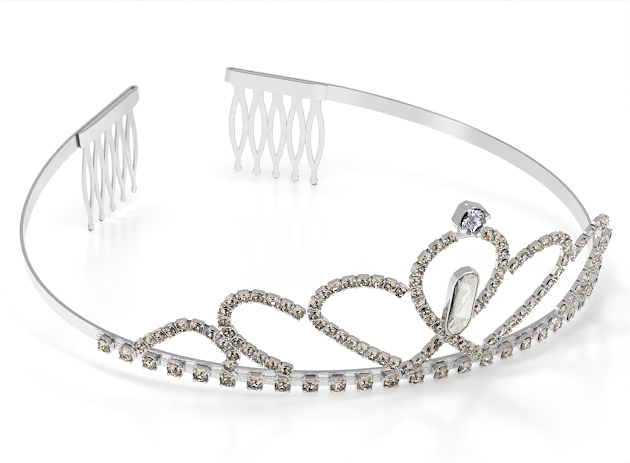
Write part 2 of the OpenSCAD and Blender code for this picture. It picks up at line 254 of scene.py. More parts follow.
soft_lamp("ceiling_panel", (0.0, 0.05, 1.3), 3.6, shadow=False, mirrored=False)
soft_lamp("back_panel", (-0.3, 0.5, 1.2), 3.0, shadow=True, mirrored=False)
soft_lamp("front_top_panel", (-0.1, -0.42, 1.2), 3.4, shadow=True, mirrored=False)
soft_lamp("front_left_panel", (-0.95, -0.45, 0.85), 1.1, shadow=False, mirrored=True)
soft_lamp("front_right_panel", (0.55, -0.95, 0.95), 1.5, shadow=False, mirrored=True)
print("lamps", len(bpy.data.lights))

# %% [markdown]
# ## Finishing the picture
# The catalogue photograph is crisp, with a bright rim beside every dark line, and its white floor is
# plain white. The standard view keeps white as it is, and a little sharpening after the render gives
# the same bite.

# %% Finishing
SHARPENING = 0.15
scene = bpy.context.scene
scene.view_settings.view_transform = "Standard"
scene.use_nodes = True
tree = scene.node_tree
tree.nodes.clear()
image = add(tree, "CompositorNodeRLayers").outputs["Image"]
crisp = add(tree, "CompositorNodeFilter", {"Fac": SHARPENING, "Image": image}, filter_type="SHARPEN_DIAMOND")
add(tree, "CompositorNodeComposite", {"Image": crisp.outputs["Image"]})
print("sharpening", SHARPENING)

# %% [markdown]
# ## The strip's path
# A headband is one flat strip bent round the head. Its plan is five arcs a side and a straight end.
# It rises towards the combs, and its width leans outward at the front, which tips the crest forward.
# A drawn curve could carry it, but every other piece sits on this path too, so one function gives
# the place and the three directions at any length along it: along the strip, up its width, and out
# from the head.

# %% Path
ARC_RADII, ARC_RUN = (76, 67, 59, 57.5, 75), 34.6
HALF, BAR = ARC_RUN * len(ARC_RADII), 24.3
STRIP_W, STRIP_T, COMB_T = 4.2, 0.85, 0.6
FOLD_R = (STRIP_T + COMB_T) / 2 + 0.08
FRONT_Y, FRONT_Z = 56.95, 3.42
RISE, RISE_RUN, BAR_SLOPE = 14.6, 141, 0.173
FRONT_LEAN, BACK_LEAN = 18, 1.5


def strip_plan(run):
    """The path seen from above: x, y and heading after a run along one half."""
    x = y = turn = 0.0
    for radius in ARC_RADII:
        step = min(max(run, 0), ARC_RUN)
        after = turn + step / radius
        x += radius * (math.sin(after) - math.sin(turn))
        y -= radius * (math.cos(after) - math.cos(turn))
        turn, run = after, run - step
    return x + max(run, 0) * math.cos(turn), y + max(run, 0) * math.sin(turn), turn


def strip_height(run):
    """Height of the middle of the strip: it curves up, runs on straight and flattens at the comb."""
    curved = RISE * (min(run, RISE_RUN) / RISE_RUN) ** 2
    straight = max(min(run, HALF) - RISE_RUN, 0) * 2 * RISE / RISE_RUN
    return FRONT_Z + (curved + straight) + max(run - HALF, 0) * BAR_SLOPE


def level_frame(s):
    """Place, level direction, up the leaning width, and out, at a length from the front centre."""
    run, side = abs(s), (-1 if s < 0 else 1)
    x, y, turn = strip_plan(run)
    lean = math.radians(FRONT_LEAN + (BACK_LEAN - FRONT_LEAN) * min(run / HALF, 1) ** 1.5)
    out = Vector((side * math.sin(turn), -math.cos(turn), 0))
    up = out * math.sin(lean) + Vector((0, 0, math.cos(lean)))
    face = out * math.cos(lean) - Vector((0, 0, math.sin(lean)))
    along = Vector((math.cos(turn), side * math.sin(turn), 0))
    return Vector((side * x, y - FRONT_Y, strip_height(run))), along, up, face


def strip_frame(s):
    """The same frame, turned to follow the strip's slope."""
    place, along, _, face = level_frame(s)
    run, side = abs(s), (-1 if s < 0 else 1)
    slope = BAR_SLOPE if run > HALF else 2 * RISE / RISE_RUN**2 * min(run, RISE_RUN)
    along = (along + Vector((0, 0, side * slope))).normalized()
    face = (face - face.dot(along) * along).normalized()
    return place, along, face.cross(along), face


def spot(s, up, out):
    """A point of the crest: a length along the strip, a height up its lean and a depth out of it."""
    place, _, rise, face = level_frame(s)
    return place + up * rise + out * face


print("strip runs", HALF + BAR, "mm a side, ends at", [round(v, 1) for v in strip_frame(HALF + BAR)[0]])

# %% [markdown]
# ## Silver
# The metal is cast and stamped alloy with a bright rhodium plate. Plate is never a perfect mirror:
# polishing leaves faint clouds in the gloss, handling leaves hairlines, and it dulls a little on
# broad faces. Scanned scratches could be laid over it. Noise needs no picture, and one group of it
# makes the masks, so that every silver shares one kind of wear at its own strength.

# %% Plate wear group
wear_inputs = [("Cloud Scale", "Float", 120.0), ("Hairline Scale", "Float", 900.0)]
wear_inputs += [("Dull", "Float", 0.2), ("Spread", "Float", 0.1)]
wear_masks = [("Roughness", "Float", None), ("Tone", "Float", None), ("Height", "Float", None)]
wear, given, result = new_group("plate wear", "ShaderNodeTree", wear_inputs, wear_masks)
given = given.outputs
place = add(wear, "ShaderNodeTexCoord").outputs["Object"]
cloud_inputs = {"Vector": place, "Scale": given["Cloud Scale"], "Detail": 4.0, "Roughness": 0.6}
cloud = add(wear, "ShaderNodeTexNoise", cloud_inputs).outputs["Fac"]
drawn_out = {"Vector": place, "Scale": (1, 0.12, 1), "Rotation": (0.5, 0.3, 0.9)}
stretched = add(wear, "ShaderNodeMapping", drawn_out).outputs[0]
hairline_inputs = {"Vector": stretched, "Scale": given["Hairline Scale"], "Detail": 3.0, "Roughness": 0.7}
hairline = add(wear, "ShaderNodeTexNoise", hairline_inputs).outputs["Fac"]
centred = add(wear, "ShaderNodeMath", {0: cloud, 1: 0.5}, operation="SUBTRACT").outputs[0]
scaled = add(wear, "ShaderNodeMath", {0: centred, 1: given["Spread"]}, operation="MULTIPLY").outputs[0]
rough = add(wear, "ShaderNodeMath", {0: scaled, 1: given["Dull"]}, operation="ADD", use_clamp=True)
tone = add(wear, "ShaderNodeMapRange", {"From Min": 0.3, "From Max": 0.7, "Value": cloud})
fill(wear, result, {"Roughness": rough.outputs[0], "Tone": tone.outputs["Result"], "Height": hairline})
print("group", wear.name, [s.name for s in wear.interface.items_tree])

# %% [markdown]
# ## Silver finishes
# The strip and the wire are bright, and the stamped combs are satin. The cups are painted nearly
# black where they are marked for painted shade, standing in for the shade that fills a real cup,
# which hardly any light reaches. The cut edges of the combs are duller than their faces and a little
# darker as painted shade, the rolled edge of the strip is painted greyer still as shade, and the cut
# ends of the strip and the undersides of the combs' tips are painted dark as shadow. Shade painted
# for one view would be wrong in the others, so each is painted as a finish on its own faces.

# %% Silver finishes
HAIRLINE_DEPTH, METAL_SHARE = 0.00002, 0.9
# the colour of the painted shade in a cup's hollow, nearly black
CUP_PAINTED_SHADE = (0.02, 0.015, 0.011)


def plated(name, dark, light, dull, spread, hairlines, cloud_scale=120.0, hairline_scale=900.0, painted_shade=None):
    """A plated metal between two tones, with gloss clouds and hairlines, painted dark where a face is marked
    for painted shade.
    """
    material, tree, shader = new_material(name)
    strengths = {"Cloud Scale": cloud_scale, "Hairline Scale": hairline_scale, "Dull": dull, "Spread": spread}
    masks = add(tree, "ShaderNodeGroup", strengths, node_tree=wear).outputs
    colour = ramp(tree, [(0.0, dark), (1.0, light)], masks["Tone"])
    # faces marked for painted shade are painted towards the dark shade colour
    if painted_shade:
        shade = add(tree, "ShaderNodeAttribute", attribute_name="painted_shade")
        colour = mixed(tree, shade.outputs["Fac"], colour, (*painted_shade, 1))
    lines = {"Strength": hairlines, "Distance": HAIRLINE_DEPTH, "Height": masks["Height"]}
    normal = add(tree, "ShaderNodeBump", lines).outputs["Normal"]
    fill(tree, shader, {"Base Color": colour, "Roughness": masks["Roughness"], "Normal": normal})
    shader.inputs["Metallic"].default_value = METAL_SHARE
    return material


# name, darker tone, lighter tone, roughness and its spread, hairlines, and the two noise scales
bright_silver = plated("bright silver", (0.83, 0.83, 0.832), (0.89, 0.89, 0.892), 0.20, 0.10, 0.25)
satin_silver = plated("satin silver", (0.84, 0.84, 0.842), (0.91, 0.91, 0.912), 0.26, 0.16, 0.4, 90.0, 1400.0)
# cup silver carries the painted shade of the cups' hollows, the links and the bezel
cup_silver = plated(
    "cup silver", (0.82, 0.805, 0.78), (0.90, 0.89, 0.875), 0.13, 0.12, 0.3, 400.0, 1600.0, painted_shade=CUP_PAINTED_SHADE
)
# the cut edge is duller and rougher, and also a little darker as painted shade along the edges
cut_edge = plated("cut edge", (0.75, 0.75, 0.75), (0.83, 0.83, 0.83), 0.34, 0.10, 0.4, 300.0, 2000.0)
# the rolled edge is painted grey, as painted shade along the strip's edges
rolled_edge = plated("rolled edge", (0.62, 0.62, 0.62), (0.64, 0.64, 0.64), 0.40, 0.02, 0.0, 60.0, 2000.0)
# painted shadow: the dark finish for the strip's cut ends and the undersides of the comb tips
painted_shadow = plated("painted shadow", (0.12, 0.12, 0.12), (0.22, 0.22, 0.22), 0.42, 0.10, 0.4, 300.0, 2000.0)
print("finishes", [material.name for material in bpy.data.materials])

# %% [markdown]
# ## Glass and foil
# The small stones are foiled glass chatons. The crown is clear glass, and the pointed back carries a
# mirror foil that throws the light out again. One bright paint could stand for both, but then no
# facet would flash. So one closed shape has two materials, glass on the crown and mirror on the
# back, and a ray comes in through the crown, meets the foil inside the glass, and leaves. Each stone
# reads its own tone from an attribute, because no two stones in a row look alike.

# %% Stone finishes
tint, given, result = new_group(
    "stone tint",
    "ShaderNodeTree",
    [("Warm", "Color", None), ("Cool", "Color", None)],
    [("Color", "Color", None)],
)
own_tone = add(tint, "ShaderNodeAttribute", attribute_name="tone").outputs["Fac"]
fill(tint, result, {"Color": mixed(tint, own_tone, given.outputs["Warm"], given.outputs["Cool"])})


def tinted(name, warm, cool, rough=0.0, metallic=0.0, clear=0.0, ior=1.5):
    """Glass or foil whose colour lies between two tints, by a tone stored on its faces: random for each small
    stone, painted for each facet of the long stone.
    """
    material, tree, shader = new_material(name)
    group = add(tree, "ShaderNodeGroup", {"Warm": (*warm, 1), "Cool": (*cool, 1)}, node_tree=tint)
    fill(tree, shader, {"Base Color": group.outputs["Color"], "Roughness": rough, "Metallic": metallic})
    fill(tree, shader, {"Transmission Weight": clear, "IOR": ior})
    return material


clear_glass = tinted("clear glass", (0.96, 0.935, 0.905), (0.98, 0.975, 0.965), clear=1.0, ior=1.62)
champagne_foil = tinted("champagne foil", (0.86, 0.76, 0.63), (0.92, 0.87, 0.79), rough=0.02, metallic=1.0)
# the long stone's glass and foil: low tones are dark, so the facets' painted light and shade run between the
# two tints
painted_facet_glass = tinted("glass with painted facets", (0.66, 0.63, 0.54), (0.985, 0.99, 0.975), clear=1.0, ior=1.32)
silver_foil = tinted("silver foil", (0.72, 0.70, 0.62), (0.97, 0.97, 0.955), rough=0.12, metallic=1.0)
blue_glass = tinted("blue glass", (0.89, 0.925, 0.985), (0.91, 0.94, 0.99), clear=1.0, ior=1.75)
blue_foil = tinted("blue foil", (0.89, 0.90, 0.95), (0.92, 0.93, 0.97), rough=0.03, metallic=1.0)
print("group", tint.name, [s.name for s in tint.interface.items_tree])


# %% [markdown]
# ## Skins and marks
# Most of the small shapes are skins through rings of points, as a potter builds from coils. Spin or
# Bridge would do the same, but a list of faces is plain to read and always comes out alike. Faces
# can be marked with a value for a finish to read, such as the painted shade inside a cup.

# %% Mesh helpers
def mesh_object(name, points, faces):
    """An object from points in millimetres."""
    mesh = bpy.data.meshes.new(name)
    mesh.from_pydata([tuple(Vector(p) * MM) for p in points], [], faces)
    mesh.validate()
    return new_object(name, mesh)


def ring(radius, z, count):
    """Points evenly round the Z axis."""
    angles = [math.tau * k / count for k in range(count)]
    return [(radius * math.cos(a), radius * math.sin(a), z) for a in angles]


def skin(rings, size, first=0):
    """Faces of a closed skin through rings of points: the walls, the end cap and the start cap."""
    last = (rings - 1) * size
    faces = []
    for low in range(0, last, size):
        high = low + size
        faces += [(low + j, low + (j + 1) % size, high + (j + 1) % size, high + j) for j in range(size)]
    faces += [tuple(range(last, last + size)), tuple(range(size - 1, -1, -1))]
    return [tuple(first + v for v in face) for face in faces]


def ring_shell(name, rings):
    """A closed object through rings of equal length."""
    return mesh_object(name, [p for points in rings for p in points], skin(len(rings), len(rings[0])))


def mark_faces(piece, name, kind, values):
    """Stores one value for each face, for a finish or a node tree to read."""
    piece.data.attributes.new(name, kind, "FACE").data.foreach_set("value", values)


def face_outwards(piece, soft_under=None):
    """Merges doubled points, turns every face outwards and may smooth the edges under an angle."""
    shell = bmesh.new()
    shell.from_mesh(piece.data)
    bmesh.ops.remove_doubles(shell, verts=shell.verts, dist=1e-7)
    bmesh.ops.recalc_face_normals(shell, faces=shell.faces)
    shell.to_mesh(piece.data)
    shell.free()
    if soft_under is not None:
        piece.data.shade_smooth()
        piece.data.set_sharp_from_angle(angle=math.radians(soft_under))


print("faces in a skin of 3 rings of 4 points", len(skin(3, 4)))


# %% [markdown]
# ## Shape of a cut stone
# A round chaton is cut with few facets, because a small stone reads best with large ones. Eight
# stars and sixteen halves ring the flat table, the girdle is a knife edge, and the back has a steep
# tier and then eight flat facets that meet at the culet. A smooth cone would be simpler, but only
# true facets flash one by one.

# %% Round stone
CROWN_FACES = 1 + 3 * 8


def round_stone(name, width, heights, table_share=0.54, step_share=0.48):
    """A chaton cut from its width and the heights of its table, girdle, lower step and culet."""
    table_z, girdle_z, step_z, culet_z = heights
    r = width / 2
    points = ring(table_share * r, table_z, 8) + ring(r, girdle_z, 16) + ring(step_share * r, step_z, 8)
    points.append((0, 0, culet_z))
    rim, low, culet = 8, 24, 32
    crown, back = [tuple(range(8))], []
    for k in range(8):
        n = (k + 1) % 8
        g, h = rim + 2 * k, rim + (2 * k + 2) % 16
        crown += [(k, g + 1, n), (k, g, g + 1), (n, g + 1, h)]
        back += [(low + n, g + 1, low + k), (g + 1, g, low + k), (h, g + 1, low + n)]
        back.append((culet, low + n, low + k))
    stone = mesh_object(name, points, crown + back)
    mark_faces(stone, "foil", "BOOLEAN", [False] * CROWN_FACES + [True] * len(back))
    return stone


curl_stone = round_stone("curl_stone", 2.94, (2.62, 2.05, 1.46, 1.08))
base_stone = round_stone("base_stone", 3.50, (2.50, 1.82, 1.12, 0.68))
print("facets in a stone", len(curl_stone.data.polygons))

# %% [markdown]
# ## Shape of a cup
# Cup chain is stamped: each cup is a square box with a round mouth, and a prong at each corner is
# bent over the stone. A boolean cut could open the mouth. Rings of sixteen points, square outside
# and round inside, need far fewer faces, which matters for a shape that comes back more than a
# hundred times. The prongs are smooth beads, and a low wall of the same metal links two cups.

# %% Cup
# (out, up, share of the half width) at the corners of a prong's section, which is wider underneath
PRONG_SECTION = ((0.03, 0.06, -0.55), (0.03, 0.06, 0.55), (-0.12, -0.09, 1), (-0.12, -0.09, -1))
LINK_HALF, LINK_LOW, LINK_TOP = 0.5, 1.0, 1.75
# half widths of a link, and its painted shade, how dark it is painted as the shade between cups, from 0 as
# outside to 1 as inside a cup
LINK_END, LINK_WAIST, LINK_SHADE = 1.30, 1.18, 0.72
# how far the mouth lies under the rim, and how thick the floor of a cup is
MOUTH_DROP, CUP_FLOOR = 0.02, 0.2
# how far out the back of a base cup lies, which is where the ladder is soldered
CUP_BACK = 0.565


def cup(name, width, back, rim, tip, mouth, corner, reach, root=0.35):
    """A square cup with a round mouth that opens towards +Z, centred on the Z axis."""
    half = width / 2
    slant = math.atan2(half - corner, half)
    turns = [(math.pi / 2 * k + t * slant, t * slant) for k in range(4) for t in (-1, -1 / 3, 1 / 3, 1)]

    def square(z):
        spokes = [(half / math.cos(off), a) for a, off in turns]
        return [(r * math.cos(a), r * math.sin(a), z) for r, a in spokes]

    def circle(z):
        return [(mouth * math.cos(a), mouth * math.sin(a), z) for a, _ in turns]

    size = len(turns)
    points = square(back) + square(rim) + circle(rim - MOUTH_DROP) + circle(back + CUP_FLOOR)
    faces = skin(4, size)
    box_faces = len(faces)
    # the last ring of walls and the cap after it line the inside, and are marked for painted shade
    painted_shade = [1.0 if 2 * size <= i <= 3 * size else 0.0 for i in range(box_faces)]
    edge = (half - corner / 2) * math.sqrt(2)
    # (out, up, width) up a corner, and then over the stone
    bent = ((edge - 0.03, rim - root, 0.62), (edge + 0.02, tip - 0.16, 0.66), (edge - reach, tip, 0.36))
    for k in range(4):
        a = math.radians(45 + 90 * k)
        out, side = Vector((math.cos(a), math.sin(a), 0)), Vector((-math.sin(a), math.cos(a), 0))
        faces += skin(len(bent), len(PRONG_SECTION), len(points))
        for r, z, w in bent:
            for dr, dz, dw in PRONG_SECTION:
                points.append(tuple(out * (r + dr) + side * (dw * w * reach) + Vector((0, 0, z + dz))))
    shape = mesh_object(name, points, faces)
    face_outwards(shape)
    prong_faces = len(faces) - box_faces
    shape.data.polygons.foreach_set("use_smooth", [False] * box_faces + [True] * prong_faces)
    mark_faces(shape, "painted_shade", "FLOAT", painted_shade + [0.0] * prong_faces)
    return shape


def link_ring(x, half_width):
    """One end or the waist of a link, as a ring of four corners."""
    low, top = LINK_LOW, LINK_TOP
    return [(x, -half_width, low), (x, half_width, low), (x, half_width, top), (x, -half_width, top)]


curl_cup = cup("curl_cup", width=3.16, back=0.995, rim=2.06, tip=2.56, mouth=1.50, corner=0.46, reach=0.56)
base_cup = cup("base_cup", width=3.98, back=CUP_BACK, rim=1.84, tip=2.42, mouth=1.87, corner=0.88, reach=0.68)
link_widths = ((-LINK_HALF, LINK_END), (0, LINK_WAIST), (LINK_HALF, LINK_END))
link_tab = ring_shell("link_tab", [link_ring(x, half_width) for x, half_width in link_widths])
# the links are painted darker, as painted shade between the cups
mark_faces(link_tab, "painted_shade", "FLOAT", [LINK_SHADE] * len(link_tab.data.polygons))
print("faces in a cup", len(curl_cup.data.polygons))

# %% [markdown]
# ## Curls
# A curl is a length of cup chain bent on the leaning surface and soldered at its ends. It could be
# drawn as a free curve. A few arcs say the same with fewer numbers, as a jeweller bends it round
# pins, and the cups stand evenly along them by true length. One strand of the centre loop drops
# back where it passes behind the other.

# %% Curl paths
# foot (along, up), heading in degrees, (run, turn in degrees) of each arc, and the number of stones
CURLS = {
    "inner": ((12.26, 4.4), 32, ((21, 12), (5.9, 55.7), (10.6, 69.9), (11.4, 56.8)), 17),
    "middle": ((36.54, 3.81), 21.7, ((13, 26.5), (12.4, 82.1), (6.9, 64.5), (8, 26.2)), 14),
    "outer": ((48.86, 3.42), 136.1, ((4.3, -78), (5.7, -13.4), (8.5, -83), (13.6, -4.7)), 10),
}
FRONT_STRAND = ((-9.27, 2.3), 35.3, ((18.5, 16), (11.6, 21.9), (8, 33.1), (8.8, 42.7)), 15)
BACK_STRAND = ((-9.23, 2.42), 22.8, ((16, 31.4), (10, 10.1), (13.5, 49.3), (6.7, 34.9)), 16)
CROSSING, BACK_DROP, DROP_FLAT, DROP_FADE = 12.3, 1.75, 2.4, 8.6
MEASURING_STEP, HALF_LOOK = 0.25, 0.1


def walk(start, heading, bends, d):
    """Point at a distance along the arcs."""
    (x, y), t = start, math.radians(heading)
    for run, turn in bends:
        step = min(max(d, 0), run)
        if step <= 0:
            break
        r = run / math.radians(turn)
        after = t + step / r
        x += r * (math.sin(after) - math.sin(t))
        y -= r * (math.cos(after) - math.cos(t))
        t, d = after, d - step
    return x, y


def dip(x):
    """Share of the drop behind the other strand, at a distance from the crossing."""
    t = (abs(x) - DROP_FLAT) / DROP_FADE
    return (1 + math.cos(math.pi * min(max(t, 0), 1))) / 2


def cup_places(side, path, drop=0.0):
    """Place, along and out of each cup, evenly spaced by true length."""
    start, heading, bends, count = path
    length = sum(run for run, _ in bends)

    def at(d):
        x, y = walk(start, heading, bends, d)
        return spot(side * x, y, -drop * dip(d - CROSSING))

    steps = math.ceil(length / MEASURING_STEP)
    runs = [0.0]
    for i in range(steps):
        runs.append(runs[-1] + (at((i + 1) * length / steps) - at(i * length / steps)).length)
    places = []
    for k in range(count):
        want = k * runs[-1] / (count - 1)
        i = max(j for j in range(steps + 1) if runs[j] <= want + 1e-9)
        share = (want - runs[i]) / (runs[i + 1] - runs[i]) if i < steps else 0
        d = (i + share) * length / steps
        along = (at(min(d + HALF_LOOK, length)) - at(max(d - HALF_LOOK, 0))).normalized()
        out = level_frame(side * walk(start, heading, bends, d)[0])[3]
        places.append((at(d), along, (out - out.dot(along) * along).normalized()))
    return places


chains = {
    f"curl_{name}_{which}": cup_places(side, path)
    for name, side in (("left", -1), ("right", 1))
    for which, path in CURLS.items()
}
loop_front, loop_back = cup_places(-1, FRONT_STRAND), cup_places(1, BACK_STRAND, BACK_DROP)
print({name: len(places) for name, places in chains.items()}, "loop", len(loop_front), len(loop_back))


# %% [markdown]
# ## The node tree that sets the chain
# Nearly three hundred cups and stones repeat along the curls, the centre loop and the base row.
# Python could copy each one, but Geometry Nodes set one cup, one stone and one link at every place
# of a plain row of points, which carry the directions along and out. Axes to Rotation stands each
# part on its point. Only the stones get a seeded turn and a small tilt, since stones drop into their
# cups at any angle, and that is what makes a row of them sparkle unevenly.

# %% Setting tree
def place_points(name, runs):
    """Loose rows of points with their directions, as one mesh."""
    points, edges, along, out = [], [], [], []
    for places in runs:
        first = len(points)
        points += [tuple(p[0] * MM) for p in places]
        along += [tuple(p[1]) for p in places]
        out += [tuple(p[2]) for p in places]
        edges += [(first + i, first + i + 1) for i in range(len(places) - 1)]
    mesh = bpy.data.meshes.new(name)
    mesh.from_pydata(points, edges, [])
    for key, values in (("along", along), ("out", out)):
        attribute = mesh.attributes.new(key, "FLOAT_VECTOR", "POINT")
        for item, value in zip(attribute.data, values):
            item.vector = value
    return new_object(name, mesh)


def stored(tree, name, kind):
    """The values of a stored attribute."""
    read = add(tree, "GeometryNodeInputNamedAttribute", {"Name": name}, data_type=kind)
    return read.outputs["Attribute"]


def live_socket(sockets, name):
    """The socket of a name that the node's data type has switched on."""
    return [socket for socket in sockets if socket.name == name and socket.enabled][0]


def setting_tree(name, on_edges=False, foiled=False):
    """Sets one object at every point, or at the middle of every edge, of a row."""
    inputs = [("Row", "Geometry", None), ("Part", "Object", None), ("Metal or Glass", "Material", None)]
    inputs += [("Foil", "Material", None), ("Turn", "Float", 0.0), ("Tilt", "Float", 0.0), ("Seed", "Int", 1)]
    tree, given, result = new_group(name, "GeometryNodeTree", inputs, [("Set Row", "Geometry", None)])
    given = given.outputs
    row = given["Row"]
    if on_edges:
        row = add(tree, "GeometryNodeMeshToPoints", {"Mesh": row}, mode="EDGES").outputs["Points"]
    axes = {0: stored(tree, "out", "FLOAT_VECTOR"), 1: stored(tree, "along", "FLOAT_VECTOR")}
    stand = add(tree, "FunctionNodeAxesToRotation", axes, primary_axis="Z", secondary_axis="X")
    most = {"X": given["Tilt"], "Y": given["Tilt"], "Z": given["Turn"]}
    most = add(tree, "ShaderNodeCombineXYZ", most).outputs[0]
    least = add(tree, "ShaderNodeVectorMath", {0: most, "Scale": -1}, operation="SCALE").outputs[0]
    limits = {0: least, 1: most, "Seed": given["Seed"]}
    chance = add(tree, "FunctionNodeRandomValue", limits, data_type="FLOAT_VECTOR").outputs[0]
    turns = {0: stand.outputs[0], 1: add(tree, "FunctionNodeEulerToRotation", {0: chance}).outputs[0]}
    turned = add(tree, "FunctionNodeRotateRotation", turns, rotation_space="LOCAL")
    part = add(tree, "GeometryNodeObjectInfo", {"As Instance": True, "Object": given["Part"]})
    copies = {"Points": row, "Instance": part.outputs["Geometry"], "Rotation": turned.outputs[0]}
    instances = add(tree, "GeometryNodeInstanceOnPoints", copies).outputs[0]
    tone = add(tree, "FunctionNodeRandomValue", {"Seed": given["Seed"]}, data_type="FLOAT")
    labels = {"Name": "tone", "Geometry": instances}
    kept = add(tree, "GeometryNodeStoreNamedAttribute", labels, data_type="FLOAT", domain="INSTANCE")
    tree.links.new(live_socket(tone.outputs, "Value"), live_socket(kept.inputs, "Value"))
    real = add(tree, "GeometryNodeRealizeInstances", {0: kept.outputs[0]}).outputs[0]
    last = add(tree, "GeometryNodeSetMaterial", {"Geometry": real, "Material": given["Metal or Glass"]})
    if foiled:
        foil = {"Selection": stored(tree, "foil", "BOOLEAN"), "Material": given["Foil"]}
        last = add(tree, "GeometryNodeSetMaterial", {"Geometry": last.outputs[0], **foil})
    fill(tree, result, {0: last.outputs[0]})
    return tree


set_parts = setting_tree("parts on a row")
set_links = setting_tree("links on a row", on_edges=True)
set_stones = setting_tree("foiled stones on a row", foiled=True)
print("trees", [t.name for t in bpy.data.node_groups if t.bl_idname == "GeometryNodeTree"])


# %% [markdown]
# ## Curls made
# On the real tiara the metal of a curl is one soldered piece and its stones are loose glass. The
# tree's result becomes a plain mesh, because the export drops live instances. Cups and links are
# joined to one metal piece and the stones to another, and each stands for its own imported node.

# %% Curls made
def run_tree(row, tree, values):
    """Evaluates the tree on a row and gives the plain mesh that comes out."""
    modifier = row.modifiers.new("setting", "NODES")
    modifier.node_group = tree
    for item in tree.interface.items_tree:
        if item.in_out == "INPUT" and item.name in values:
            modifier[item.identifier] = values[item.name]
    seen = row.evaluated_get(bpy.context.evaluated_depsgraph_get())
    mesh = bpy.data.meshes.new_from_object(seen)
    row.modifiers.remove(modifier)
    return mesh


def run_stones(row, stone, tilt, seed):
    """The foiled stones of a row, each turned freely and tilted a little."""
    values = {"Part": stone, "Metal or Glass": clear_glass, "Foil": champagne_foil}
    return run_tree(row, set_stones, {**values, "Turn": math.pi, "Tilt": tilt, "Seed": seed})


def join_meshes(name, meshes):
    """One object from several meshes that are already in place."""
    joined = bmesh.new()
    materials = []
    for mesh in meshes:
        first = len(joined.faces)
        joined.from_mesh(mesh)
        joined.faces.ensure_lookup_table()
        own = list(mesh.materials)
        materials += [material for material in own if material not in materials]
        for face in joined.faces[first:]:
            face.material_index = materials.index(own[face.material_index])
    out = bpy.data.meshes.new(name)
    joined.to_mesh(out)
    joined.free()
    for material in materials:
        out.materials.append(material)
    return new_object(name, out)


def dress(piece, node):
    """Puts a finished piece on the body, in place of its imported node."""
    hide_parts(node)
    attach(piece, "root")
    return piece


def make_chain(node, runs, seed, extra=()):
    """Cups, links and stones of one chain, as a metal piece and a stone piece."""
    row = place_points(node + "_row", runs)
    cups = run_tree(row, set_parts, {"Part": curl_cup, "Metal or Glass": cup_silver})
    links = run_tree(row, set_links, {"Part": link_tab, "Metal or Glass": cup_silver})
    stones = run_stones(row, curl_stone, 0.08, seed)
    bpy.data.objects.remove(row)
    dress(join_meshes(node + "_cups", [cups, links, *extra]), node)
    dress(join_meshes(node + "_set_stones", [stones]), node + "_stones")
    return len(stones.polygons)


for seed, (node, places) in enumerate(chains.items(), start=11):
    print(node, make_chain(node, [places], seed), "facets")

# %% [markdown]
# ## Base row's places
# The row along the front is larger: 27 cups soldered to a ladder of wire in front of the strip, a
# little below its middle. The strip isn't a circle, so equal angles would crowd some of them. They
# stand a pitch apart by length along it.

# %% Base places
BASE_PITCH, BASE_SIDE, BASE_UP = 6.2, 13, -0.85
base_places = []
for i in range(-BASE_SIDE, BASE_SIDE + 1):
    place, along, up, face = strip_frame(i * BASE_PITCH)
    base_places.append((place + BASE_UP * up, along, face))
print("base stones", len(base_places))

# %% [markdown]
# ## Ladder rung
# Behind each base cup the ladder shows a top rail, a rounded slot over the cup and a wavy lower
# wire. A stamped sheet with holes would look flat at this angle, so one rung is drawn as round wire,
# and the tree sets it at each cup like the cups themselves.

# %% Ladder rung
CUP_TOP = 3.95 / 2
RAIL_UP = STRIP_W / 2 - BASE_UP - 0.2
WIRE_OUT, WIRE_R = CUP_BACK + 0.19, 0.12
RUNG_HALF = BASE_PITCH / 2 + 0.06
SLOT_LOW = CUP_TOP - 0.1


def mesh_from_curve(name, data):
    """The plain mesh that a curve shows."""
    holder = new_object(name, data)
    mesh = bpy.data.meshes.new_from_object(holder.evaluated_get(bpy.context.evaluated_depsgraph_get()))
    bpy.data.objects.remove(holder)
    return mesh


def wire(name, lines, radius):
    """Round wire along lines of points."""
    data = bpy.data.curves.new(name, "CURVE")
    data.dimensions = "3D"
    data.bevel_depth = radius * MM
    data.bevel_resolution = 1
    data.resolution_u = 3
    data.use_fill_caps = True
    for points in lines:
        spline = data.splines.new("BEZIER")
        spline.bezier_points.add(len(points) - 1)
        for item, point in zip(spline.bezier_points, points):
            item.co = Vector(point) * MM
            item.handle_left_type = item.handle_right_type = "AUTO"
    return new_object(name, mesh_from_curve(name, data))


def both_sides(half):
    """A line from its right half, which starts at the middle."""
    return [(-x, y) for x, y in half[::-1]] + half


rail = [(-RUNG_HALF, RAIL_UP), (0, RAIL_UP), (RUNG_HALF, RAIL_UP)]
slot = both_sides([(1.25, RAIL_UP - 0.02), (1.62, RAIL_UP - 0.35), (1.62, SLOT_LOW + 0.3), (1.2, SLOT_LOW)])
wave = [(1.7, 1.15), (2.1, 1.05), (2.45, 0.85), (2.8, 0.86), (RUNG_HALF, 1.02)]
other_wave = [(-x, y) for x, y in wave]
flat_lines = (rail, slot, wave, other_wave)
rung = wire("ladder_rung", [[(x, y, WIRE_OUT) for x, y in line] for line in flat_lines], WIRE_R)
rung.data.shade_smooth()
print("faces in a rung", len(rung.data.polygons))

# %% [markdown]
# ## Centre loop
# The loop in the middle is two strands of the same chain that cross above the base row. They end
# under the top setting, joined by a short bar. The strands could be two pieces, but the real ones
# are soldered, so the curls' function makes both as one, with a bent wire between the last cups.

# %% Centre loop made
BAR_OUT, BAR_ARCH, BAR_INSET, BAR_R = 1.1, 0.42, 1.3, 0.85
ends = [chain[-1][0] + BAR_OUT * chain[-1][2] for chain in (loop_front, loop_back)]
middle = (ends[0] + ends[1]) / 2 + BAR_ARCH * level_frame(0)[2]
ends = [end + BAR_INSET * (middle - end).normalized() for end in ends]
bridge = wire("loop_bridge", [[ends[0], middle, ends[1]]], BAR_R)
bridge.data.materials.append(cut_edge)
print("centre_loop", make_chain("centre_loop", [loop_front, loop_back], 31, [bridge.data]), "facets")
bpy.data.objects.remove(bridge)

